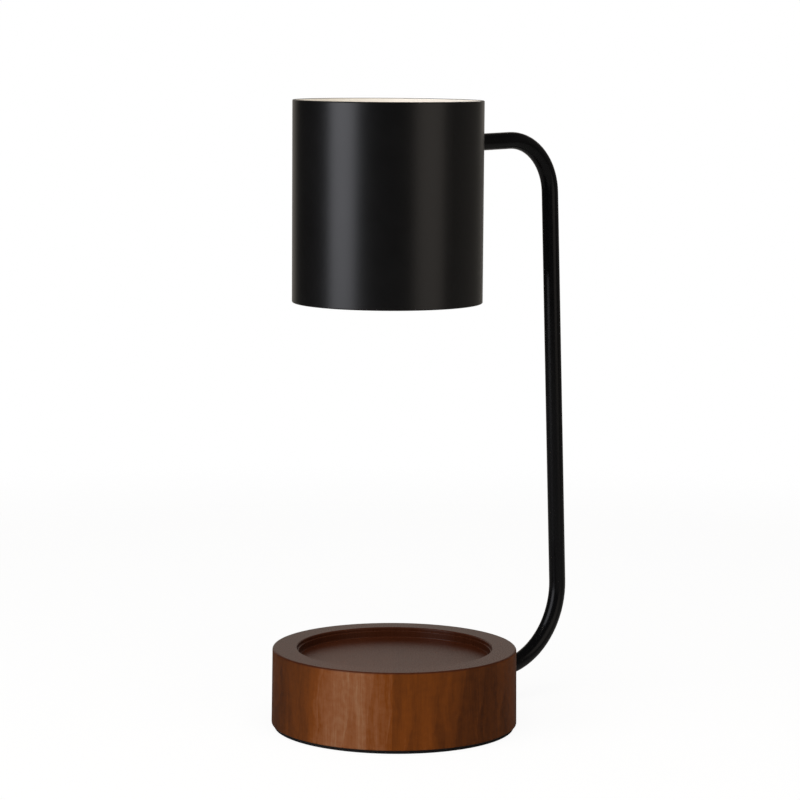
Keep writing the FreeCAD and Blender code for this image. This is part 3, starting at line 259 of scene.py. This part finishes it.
def shadeCoat(look):
    # The shade's two powder coats: satin black outside and over the rims, warm white inside.
    material, tree, point = startMaterial("shadeCoat")
    tone, bump = powderSkin(tree, point, look)
    black = addNode(tree, "ValToRGB", {0: tone}, [(0.35, look["black"]), (0.65, look["blackPale"])])
    cream = addNode(tree, "ValToRGB", {0: tone}, [(0.35, look["creamDull"]), (0.65, look["cream"])])
    low, high = (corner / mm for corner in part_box("shade_shell"))
    centre = (low + high) / 2
    offAxis = {"Vector": point, "Location": (-centre.x, -centre.y, 0), "Scale": (1, 1, 0)}
    reach = addNode(tree, "VectorMath", {0: addNode(tree, "Mapping", offAxis)}, operation="LENGTH")
    up = addNode(tree, "SeparateXYZ", {0: point}).outputs["Z"]
    fade = look["coverFade"]
    inside = 1.0
    for value, line, side in (
        (reach, (high.x - low.x) / 2 - look["coverDepth"], -1),
        (up, low.z + look["coverBottom"], 1),
        (up, high.z - look["coverTop"], -1),
    ):
        span = {"Value": value, "From Min": line - side * fade, "From Max": line + side * fade}
        edge = addNode(tree, "MapRange", span)
        inside = addNode(tree, "Math", {0: inside, 1: edge}, operation="MULTIPLY")
    color = addNode(tree, "Mix", {"Factor": inside, "A": black, "B": cream}, data_type="RGBA")
    smooth, coarse = look["shadeRough"]
    coatRough = addNode(tree, "MapRange", {"Value": tone, "To Min": smooth, "To Max": coarse})
    rougher = {0: inside, 1: look["creamRougher"], 2: coatRough}
    rough = addNode(tree, "Math", rougher, operation="MULTIPLY_ADD")
    coat = addNode(
        tree, "BsdfPrincipled", {"Base Color": color, "Roughness": rough, "Normal": bump, "IOR": 1.5},
    )
    addNode(tree, "OutputMaterial", {"Surface": coat})
    return material


foam = {
    "dark": "#0C0C0C",
    "light": "#1C1C1C",
    "cellSize": 0.9,  # millimetres, as the depth
    "cellDepth": 0.12,
    "rough": 0.9,
    "specular": 0.2,
}


def footFoam(look):
    # Closed cell foam sheet under the base: matt black with tiny round cells.
    material, tree, point = startMaterial("footFoam")
    cells = addNode(tree, "TexVoronoi", {"Vector": point, "Scale": 1 / look["cellSize"]})
    color = addNode(tree, "ValToRGB", {0: cells}, [(0.1, look["dark"]), (0.8, look["light"])])
    bump = addNode(tree, "Bump", {"Height": cells, "Distance": look["cellDepth"] * mm})
    sheet = addNode(
        tree, "BsdfPrincipled",
        {
            "Base Color": color, "Roughness": look["rough"], "Normal": bump, "IOR": 1.45,
            "Specular IOR Level": look["specular"],
        },
    )
    addNode(tree, "OutputMaterial", {"Surface": sheet})
    return material


metals = {
    "zincPlate": {"bright": "#C6C9CA", "dull": "#B4B8BA", "patch": 5, "rough": (0.3, 0.42)},
    "drawnBrass": {"bright": "#CBA552", "dull": "#A8823A", "patch": 7, "rough": (0.26, 0.4)},
    "tungstenWire": {"bright": "#6B6763", "dull": "#4A4744", "patch": 2, "rough": (0.4, 0.55)},
}
drawnMarks = {"size": 0.4, "stretch": 0.15, "depth": 0.01}  # millimetres, and their shrink along X


def drawnMetal(name):
    # Plated or bare metal as it was drawn or rolled: cloudy patches, and fine marks along X.
    look = metals[name]
    material, tree, point = startMaterial(name)
    patches = addNode(tree, "TexNoise", {"Vector": point, "Scale": 1 / look["patch"], "Detail": 3.0})
    color = addNode(tree, "ValToRGB", {0: patches}, [(0.3, look["dull"]), (0.65, look["bright"])])
    along = addNode(tree, "Mapping", {"Vector": point, "Scale": (drawnMarks["stretch"], 1, 1)})
    marks = addNode(tree, "TexNoise", {"Vector": along, "Scale": 1 / drawnMarks["size"]})
    smooth, coarse = look["rough"]
    rough = addNode(tree, "MapRange", {"Value": marks, "To Min": smooth, "To Max": coarse})
    bump = addNode(tree, "Bump", {"Height": marks, "Distance": drawnMarks["depth"] * mm})
    metal = addNode(
        tree, "BsdfPrincipled", {"Base Color": color, "Roughness": rough, "Normal": bump, "Metallic": 1.0},
    )
    addNode(tree, "OutputMaterial", {"Surface": metal})
    return material


plastics = {
    "mouldedRubber": {"deep": "#0E0E0E", "pale": "#161616", "rough": (0.6, 0.75)},
    "blackNylon": {"deep": "#121212", "pale": "#1B1B1B", "rough": (0.42, 0.55)},
    "whiteNylon": {"deep": "#DCD8CD", "pale": "#E8E4DA", "rough": (0.4, 0.55)},
}
mouldSkin = {"cloudSize": 9, "grainSize": 0.35, "grainDepth": 0.02}  # millimetres


def mouldedPlastic(name):
    # Injection moulded plastic or rubber: an even colour over a fine spark textured skin.
    look = plastics[name]
    material, tree, point = startMaterial(name)
    clouds = addNode(tree, "TexNoise", {"Vector": point, "Scale": 1 / mouldSkin["cloudSize"]})
    color = addNode(tree, "ValToRGB", {0: clouds}, [(0.3, look["deep"]), (0.7, look["pale"])])
    grain = addNode(tree, "TexNoise", {"Vector": point, "Scale": 1 / mouldSkin["grainSize"]})
    smooth, coarse = look["rough"]
    rough = addNode(tree, "MapRange", {"Value": grain, "To Min": smooth, "To Max": coarse})
    bump = addNode(tree, "Bump", {"Height": grain, "Distance": mouldSkin["grainDepth"] * mm})
    plastic = addNode(
        tree, "BsdfPrincipled", {"Base Color": color, "Roughness": rough, "Normal": bump, "IOR": 1.5},
    )
    addNode(tree, "OutputMaterial", {"Surface": plastic})
    return material


ceramic = {
    "deep": "#DDD8CC",
    "pale": "#EBE7DD",
    "speck": "#A9A395",
    "cloudSize": 6,  # millimetres, as the sizes below
    "speckSize": 0.8,
    "speckStart": 0.7,  # of the noise, where a speck begins and where it is full
    "speckFull": 0.78,
    "gritSize": 0.3,
    "gritDepth": 0.03,
    "rough": (0.4, 0.6),
}


def pressedCeramic(look):
    # Steatite, pressed and fired without a glaze: off white, with a fine grit and faint grey specks.
    material, tree, point = startMaterial("pressedCeramic")
    clouds = addNode(tree, "TexNoise", {"Vector": point, "Scale": 1 / look["cloudSize"], "Detail": 3.0})
    clay = addNode(tree, "ValToRGB", {0: clouds}, [(0.3, look["deep"]), (0.7, look["pale"])])
    spots = addNode(tree, "TexNoise", {"Vector": point, "Scale": 1 / look["speckSize"], "Detail": 1.0})
    speckSpan = {"Value": spots, "From Min": look["speckStart"], "From Max": look["speckFull"]}
    specks = addNode(tree, "MapRange", speckSpan)
    color = addNode(tree, "Mix", {"Factor": specks, "A": clay, "B": look["speck"]}, data_type="RGBA")
    grit = addNode(tree, "TexNoise", {"Vector": point, "Scale": 1 / look["gritSize"]})
    smooth, coarse = look["rough"]
    rough = addNode(tree, "MapRange", {"Value": grit, "To Min": smooth, "To Max": coarse})
    bump = addNode(tree, "Bump", {"Height": grit, "Distance": look["gritDepth"] * mm})
    body = addNode(
        tree, "BsdfPrincipled", {"Base Color": color, "Roughness": rough, "Normal": bump, "IOR": 1.6},
    )
    addNode(tree, "OutputMaterial", {"Surface": body})
    return material


insulation = {
    "brownInsulation": {"deep": "#3A1D0F", "pale": "#4C2916"},
    "blueInsulation": {"deep": "#123C7A", "pale": "#1E4F94"},
}
drawnLines = {"width": 0.2, "length": 4, "depth": 0.01, "rough": (0.36, 0.5)}  # millimetres


def wireInsulation(name):
    # Silicone rubber drawn over the wire: a soft sheen, with faint lines along it.
    look = insulation[name]
    material, tree, point = startMaterial(name)
    lineScale = [1 / drawnLines[size] for size in ("width", "length", "length")]
    along = addNode(tree, "Mapping", {"Vector": point, "Scale": lineScale})
    lines = addNode(tree, "TexNoise", {"Vector": along, "Scale": 1.0, "Detail": 1.0})
    color = addNode(tree, "ValToRGB", {0: lines}, [(0.3, look["deep"]), (0.7, look["pale"])])
    smooth, coarse = drawnLines["rough"]
    rough = addNode(tree, "MapRange", {"Value": lines, "To Min": smooth, "To Max": coarse})
    bump = addNode(tree, "Bump", {"Height": lines, "Distance": drawnLines["depth"] * mm})
    rubber = addNode(
        tree, "BsdfPrincipled", {"Base Color": color, "Roughness": rough, "Normal": bump, "IOR": 1.42},
    )
    addNode(tree, "OutputMaterial", {"Surface": rubber})
    return material


braid = {"gap": "#B9B19B", "yarn": "#E9E3D2", "thread": 0.7, "threadDepth": 0.15, "rough": 0.6}


def braidedSleeve(look):
    # Glass fibre yarn braided over the hot ends of the leads: two sets of threads that cross.
    material, tree, point = startMaterial("braidedSleeve")
    weave = []
    for side in (1, -1):
        along = addNode(tree, "VectorMath", {0: point, 1: (side, 1, side)}, operation="DOT_PRODUCT")
        angle = addNode(tree, "Math", {0: along, 1: 2 * math.pi / look["thread"]}, operation="MULTIPLY")
        weave.append(addNode(tree, "Math", {0: angle}, operation="SINE"))
    threads = addNode(tree, "Math", {0: weave[0], 1: weave[1]}, operation="MAXIMUM")
    color = addNode(tree, "ValToRGB", {0: threads}, [(0.0, look["gap"]), (0.8, look["yarn"])])
    bump = addNode(tree, "Bump", {"Height": threads, "Distance": look["threadDepth"] / 2 * mm})
    yarn = addNode(
        tree, "BsdfPrincipled",
        {"Base Color": color, "Roughness": look["rough"], "Normal": bump, "IOR": 1.5},
    )
    addNode(tree, "OutputMaterial", {"Surface": yarn})
    return material


glass = {
    "mirror": {"deep": "#D5D9E2", "pale": "#E6E8EC", "hazeSize": 5, "rough": (0.06, 0.16)},
    "clear": {"deep": "#F4F8F8", "pale": "#FFFFFF", "hazeSize": 7, "rough": (0.0, 0.06)},
}


def mirrorGlass(look):
    # Glass with aluminium evaporated on it: a bright, faintly blue mirror, hazy in patches.
    material, tree, point = startMaterial("mirrorGlass")
    haze = addNode(tree, "TexNoise", {"Vector": point, "Scale": 1 / look["hazeSize"], "Detail": 3.0})
    color = addNode(tree, "ValToRGB", {0: haze}, [(0.3, look["deep"]), (0.7, look["pale"])])
    smooth, coarse = look["rough"]
    rough = addNode(tree, "MapRange", {"Value": haze, "To Min": smooth, "To Max": coarse})
    mirror = addNode(tree, "BsdfPrincipled", {"Base Color": color, "Roughness": rough, "Metallic": 1.0})
    addNode(tree, "OutputMaterial", {"Surface": mirror})
    return material


def clearGlass(look):
    # Pressed borosilicate glass: clear, with a little haze where it has been handled.
    material, tree, point = startMaterial("clearGlass")
    haze = addNode(tree, "TexNoise", {"Vector": point, "Scale": 1 / look["hazeSize"], "Detail": 3.0})
    color = addNode(tree, "ValToRGB", {0: haze}, [(0.2, look["deep"]), (0.8, look["pale"])])
    smooth, coarse = look["rough"]
    rough = addNode(tree, "MapRange", {"Value": haze, "To Min": smooth, "To Max": coarse})
    pane = addNode(
        tree, "BsdfPrincipled",
        {"Base Color": color, "Roughness": rough, "IOR": 1.47, "Transmission Weight": 1.0},
    )
    addNode(tree, "OutputMaterial", {"Surface": pane})
    return material


# the record's material slots and their finishes
finishes = {
    "stained_walnut": stainedWalnut(walnut),
    "foot_foam": footFoam(foam),
    "black_powder_coat": blackPowderCoat(powder),
    "shade_coat": shadeCoat(powder),
    "zinc_plate": drawnMetal("zincPlate"),
    "brass": drawnMetal("drawnBrass"),
    "tungsten": drawnMetal("tungstenWire"),
    "black_rubber": mouldedPlastic("mouldedRubber"),
    "black_nylon": mouldedPlastic("blackNylon"),
    "white_nylon": mouldedPlastic("whiteNylon"),
    "white_ceramic": pressedCeramic(ceramic),
    "brown_insulation": wireInsulation("brownInsulation"),
    "blue_insulation": wireInsulation("blueInsulation"),
    "glass_fibre_sleeve": braidedSleeve(braid),
    "reflector_glass": mirrorGlass(glass["mirror"]),
    "clear_glass": clearGlass(glass["clear"]),
}
for piece in nodes.values():
    for slot in piece.material_slots:
        slot.material = finishes[slot.material.name]
print(f"materials: {len(finishes)} finishes")


def addBulbPiece(name, mesh, slotName):
    # a piece in place that rides with the bulb
    piece = bpy.data.objects.new(name, mesh)
    bpy.context.scene.collection.objects.link(piece)
    mesh.materials.append(finishes[slotName])
    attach(piece, "bulb")
    return piece


def bulbFace():
    # the middle of the bulb's face
    low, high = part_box("bulb_reflector")
    return Vector(((low.x + high.x) / 2, (low.y + high.y) / 2, low.z))


reflector = {
    "facetsRound": 40,
    "facetsUp": 9,
    "stepsOutside": 12,
    "bowlCurve": 48,  # millimetres, as the sizes below
    "rim": 25,
    "rimHeight": 3,
    "rimRound": 0.3,
    "step": 1.5,
    "wall": 1.2,
    "seat": 1.8,
    "neck": 10,
    "height": 30,
}


def bowlLine(plan, inset, steps):
    # the bowl's wall as an arc from the rim up to the neck, as (reach, 0, height)
    start = Vector((plan["rim"] - plan["step"] - inset, 0, plan["rimHeight"]))
    end = Vector((plan["neck"] - inset, 0, plan["height"]))
    inward = Vector((end.z - start.z, 0, start.x - end.x)).normalized() * -1
    middle = (start + end) / 2
    centre = middle + inward * math.sqrt(plan["bowlCurve"] ** 2 - (start - middle).length_squared)
    first, last = (math.atan2(corner.z - centre.z, corner.x - centre.x) for corner in (start, end))
    angles = [first + (last - first) * step / steps for step in range(steps + 1)]
    return [centre + plan["bowlCurve"] * Vector((math.cos(angle), 0, math.sin(angle))) for angle in angles]


def makeReflector(plan):
    # the mirror bowl: flat facets inside, smooth glass outside
    face, mouth = plan["rim"] - plan["wall"], plan["rim"] - plan["step"] - plan["wall"]
    edge = plan["rim"] - plan["rimRound"]
    rim = [(mouth, plan["seat"]), (face, plan["seat"]), (face, 0), (edge, 0), (plan["rim"], plan["rimRound"])]
    rim += [(plan["rim"], plan["rimHeight"] - plan["rimRound"]), (edge, plan["rimHeight"])]
    outline = [Vector((reach, 0, height)) for reach, height in rim] + bowlLine(plan, 0, plan["stepsOutside"])
    outline += bowlLine(plan, plan["wall"], plan["facetsUp"])[::-1]
    bm = bmesh.new()
    corners = [bm.verts.new(point) for point in outline]
    edges = [bm.edges.new(pair) for pair in zip(corners, corners[1:] + corners[:1])]
    bmesh.ops.spin(
        bm, geom=corners + edges, cent=(0, 0, 0), axis=(0, 0, 1), angle=2 * math.pi,
        steps=plan["facetsRound"], use_merge=True,
    )
    bmesh.ops.remove_doubles(bm, verts=bm.verts, dist=0.0001)
    bmesh.ops.recalc_face_normals(bm, faces=bm.faces)
    for facet in bm.faces:
        middle = facet.calc_center_median()
        facet.smooth = facet.normal.dot(Vector((middle.x, middle.y, 0))) > 0
    bmesh.ops.scale(bm, vec=(mm, mm, mm), verts=bm.verts)
    bmesh.ops.translate(bm, vec=bulbFace(), verts=bm.verts)
    mesh = bpy.data.meshes.new("facetedReflector")
    bm.to_mesh(mesh)
    bm.free()
    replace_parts(addBulbPiece("facetedReflector", mesh, "reflector_glass"), "bulb_reflector")


filament = {
    "turns": 11,
    "pointsPerTurn": 12,
    "coilReach": 0.6,  # millimetres, as the sizes below
    "wireRadius": 0.12,
    "coilRise": 2.0,
    "coilDrop": 3.0,
    "footRun": 1.2,  # how far the wire runs straight off each end of the coil
    "headRun": 1.0,
}


def makeFilament(plan):
    # a coil of wire between its two support wires, all in the solid's own box
    low, high = (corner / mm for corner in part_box("bulb_filament"))
    axis = bulbFace() / mm
    bottom, top = low.z + plan["coilRise"], high.z - plan["coilDrop"]
    count = plan["turns"] * plan["pointsPerTurn"]
    coil = []
    for step in range(count + 1):
        angle = 2 * math.pi * step / plan["pointsPerTurn"]
        out = plan["coilReach"] * Vector((math.cos(angle), math.sin(angle), 0))
        coil.append(Vector((axis.x, axis.y, bottom + (top - bottom) * step / count)) + out)
    corner = Vector((high.x - plan["wireRadius"], axis.y, low.z + plan["wireRadius"]))
    foot, head = Vector((0, 0, plan["footRun"])), Vector((axis.x, axis.y, top + plan["headRun"]))
    outer = [coil[0], coil[0] - foot, corner, Vector((corner.x, axis.y, high.z))]
    inner = [coil[-1], head, Vector((axis.x, axis.y, high.z))]
    curve = bpy.data.curves.new("filamentCoil", "CURVE")
    curve.dimensions = "3D"
    curve.bevel_depth = plan["wireRadius"] * mm
    curve.bevel_resolution = 1
    curve.resolution_u = 2
    for route in (coil, outer, inner):
        spline = curve.splines.new("NURBS")
        spline.points.add(len(route) - 1)
        for spot, point in zip(spline.points, route):
            spot.co = (*(point * mm), 1)
        spline.order_u = 3
        spline.use_endpoint_u = True
    maker = bpy.data.objects.new("filamentMaker", curve)
    bpy.context.scene.collection.objects.link(maker)
    shaped = maker.evaluated_get(bpy.context.evaluated_depsgraph_get())
    mesh = bpy.data.meshes.new_from_object(shaped)
    bpy.data.objects.remove(maker)
    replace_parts(addBulbPiece("filamentCoil", mesh, "tungsten"), "bulb_filament")


makeReflector(reflector)
makeFilament(filament)
print("pieces: reflector and filament")


view = {
    "position": (1.26282, -1.10798, 0.4024),  # metres
    "turn": 48.66,  # degrees about +Z, from looking along +Y
    "down": 7.115,
    "roll": 0.401,
    "lens": 131.22,
    "sensor": 36,
    "near": 0.05,
    "far": 50,
}


def makeCamera(plan):
    data = bpy.data.cameras.new("camera")
    data.lens = plan["lens"]
    data.sensor_width = plan["sensor"]
    data.clip_start = plan["near"]
    data.clip_end = plan["far"]
    camera = bpy.data.objects.new("camera", data)
    bpy.context.scene.collection.objects.link(camera)
    turn = Matrix.Rotation(math.radians(plan["turn"]), 4, "Z")
    tilt = Matrix.Rotation(math.radians(90 - plan["down"]), 4, "X")
    roll = Matrix.Rotation(math.radians(plan["roll"]), 4, "Z")
    camera.matrix_world = Matrix.Translation(Vector(plan["position"])) @ turn @ tilt @ roll
    bpy.context.scene.camera = camera


# Turns are degrees round the lamp from the camera, to the right of the picture; sizes are metres.
# A box that is mirrored shows in polished surfaces, as a strip of light down the shade and arm.
softboxes = {
    "key": {
        "turn": -55, "distance": 1.8, "height": 0.85, "size": (1.2, 2.0), "light": 3.05, "tint": "#F6F7FF",
        "mirrored": True,
    },
    "side": {
        "turn": 51, "distance": 1.9, "height": 0.6, "size": (1.3, 1.5), "light": 0.78, "tint": "#FFF4E9",
        "mirrored": True,
    },
    "top": {
        "turn": 0, "distance": 0.75, "height": 1.75, "size": (1.4, 1.4), "light": 4.2, "tint": "#FFFAF4",
        "mirrored": False,
    },
}
lampMiddle = Vector((0, 0, 0.2))  # where they are aimed


def towards(turn):
    # the level direction from the lamp, this far round from the camera
    x, y = view["position"][:2]
    angle = math.atan2(y, x) + math.radians(turn)
    return Vector((math.cos(angle), math.sin(angle), 0))


def addSoftbox(name, plan):
    light = bpy.data.lights.new(name, "AREA")
    light.shape = "RECTANGLE"
    light.size, light.size_y = plan["size"]
    light.energy = plan["light"] * math.pi * light.size * light.size_y
    light.color = linearColor(plan["tint"])[:3]
    box = bpy.data.objects.new(name, light)
    bpy.context.scene.collection.objects.link(box)
    box.visible_camera = False
    box.visible_glossy = plan["mirrored"]
    place = towards(plan["turn"]) * plan["distance"] + Vector((0, 0, plan["height"]))
    aim = lampMiddle - place
    box.matrix_world = Matrix.Translation(place) @ aim.to_track_quat("-Z", "Y").to_matrix().to_4x4()


room = {
    "tint": "#FFF6EA",  # of all that polished surfaces see
    "fill": 0.3,  # what the room gives to matt surfaces
    "dim": 0.04,  # what polished surfaces see of it
    "backdrop": 0.45,  # what they see behind the lamp
    "backdropEdge": 45,  # degrees off straight back, where it ends
    "backdropFull": 20,
    "wall": 0.14,  # and on a pale wall on the right
    "wallTurn": 118,
    "wallEdge": 53,
    "wallFull": 18,
}


def makeRoom(plan):
    # a dim room with a white backdrop behind the lamp, and white wherever the camera looks
    world = bpy.data.worlds.new("room")
    bpy.context.scene.world = world
    world.use_nodes = True
    tree = world.node_tree
    tree.nodes.clear()
    direction = addNode(tree, "TexCoord").outputs["Generated"]
    polished = plan["dim"]
    for name, turn in (("backdrop", 180), ("wall", plan["wallTurn"])):
        edge, full = (math.cos(math.radians(plan[name + end])) for end in ("Edge", "Full"))
        facing = addNode(tree, "VectorMath", {0: direction, 1: towards(turn)}, operation="DOT_PRODUCT")
        pale = addNode(
            tree, "MapRange", {"Value": facing, "From Min": edge, "From Max": full, "To Max": plan[name]},
            interpolation_type="SMOOTHSTEP",
        )
        polished = addNode(tree, "Math", {0: polished, 1: pale}, operation="MAXIMUM")
    path = addNode(tree, "LightPath").outputs
    shine = addNode(tree, "Math", {0: path["Is Glossy Ray"], 1: polished}, operation="MULTIPLY")
    matt = addNode(tree, "Math", {0: path["Is Diffuse Ray"], 1: plan["fill"]}, operation="MULTIPLY")
    strength = addNode(tree, "Math", {0: shine, 1: matt}, operation="MAXIMUM")
    for seen in (path["Is Camera Ray"], path["Is Transmission Ray"]):
        strength = addNode(tree, "Math", {0: strength, 1: seen}, operation="MAXIMUM")
    color = addNode(
        tree, "Mix", {"Factor": path["Is Glossy Ray"], "A": "#FFFFFF", "B": plan["tint"]}, data_type="RGBA",
    )
    background = addNode(tree, "Background", {"Color": color, "Strength": strength})
    addNode(tree, "OutputWorld", {"Surface": background})


floor = {
    "level": -0.0002,  # metres, as the sizes below
    "hollow": 0.066,  # the lamp covers this, and its underside is lit through it
    "reach": 1.1,
    "fade": 0.7,
    "color": "#F4F3F1",
    "white": 0.92,  # how much of it is plain white where the camera looks
    "shine": 0.25,  # how much of it polished surfaces see
}


def makeFloor(plan):
    # a pale round table top that fades into the white around it
    bm = bmesh.new()
    bmesh.ops.create_circle(bm, cap_ends=True, segments=96, radius=plan["reach"])
    bmesh.ops.translate(bm, vec=(0, 0, plan["level"]), verts=bm.verts)
    mesh = bpy.data.meshes.new("floor")
    bm.to_mesh(mesh)
    bm.free()
    table = bpy.data.objects.new("floor", mesh)
    bpy.context.scene.collection.objects.link(table)
    material, tree, point = startMaterial("floor")
    mesh.materials.append(material)
    path = addNode(tree, "LightPath").outputs
    paint = addNode(tree, "BsdfDiffuse", {"Color": plan["color"]})
    white = addNode(tree, "Emission", {"Color": "#FFFFFF", "Strength": 1.0})
    bright = addNode(tree, "Math", {0: path["Is Camera Ray"], 1: plan["white"]}, operation="MULTIPLY")
    top = addNode(tree, "MixShader", {0: bright, 1: paint, 2: white})
    reach = addNode(tree, "VectorMath", {0: point}, operation="LENGTH")
    edge = addNode(
        tree, "MapRange", {"Value": reach, "From Min": plan["fade"] / mm, "From Max": plan["reach"] / mm},
        interpolation_type="SMOOTHSTEP",
    )
    unseen = addNode(tree, "Math", {0: path["Is Glossy Ray"], 1: 1 - plan["shine"]}, operation="MULTIPLY")
    hollow = addNode(tree, "Math", {0: reach, 1: plan["hollow"] / mm}, operation="LESS_THAN")
    gone = addNode(tree, "NewGeometry").outputs["Backfacing"]
    for part in (edge, unseen, hollow):
        gone = addNode(tree, "Math", {0: gone, 1: part}, operation="MAXIMUM")
    clear = addNode(tree, "BsdfTransparent")
    addNode(tree, "OutputMaterial", {"Surface": addNode(tree, "MixShader", {0: gone, 1: top, 2: clear})})


makeCamera(view)
for name, plan in softboxes.items():
    addSoftbox(name, plan)
makeRoom(room)
makeFloor(floor)
bpy.context.scene.view_settings.view_transform = "Standard"
print("studio: camera, softboxes, room and floor")
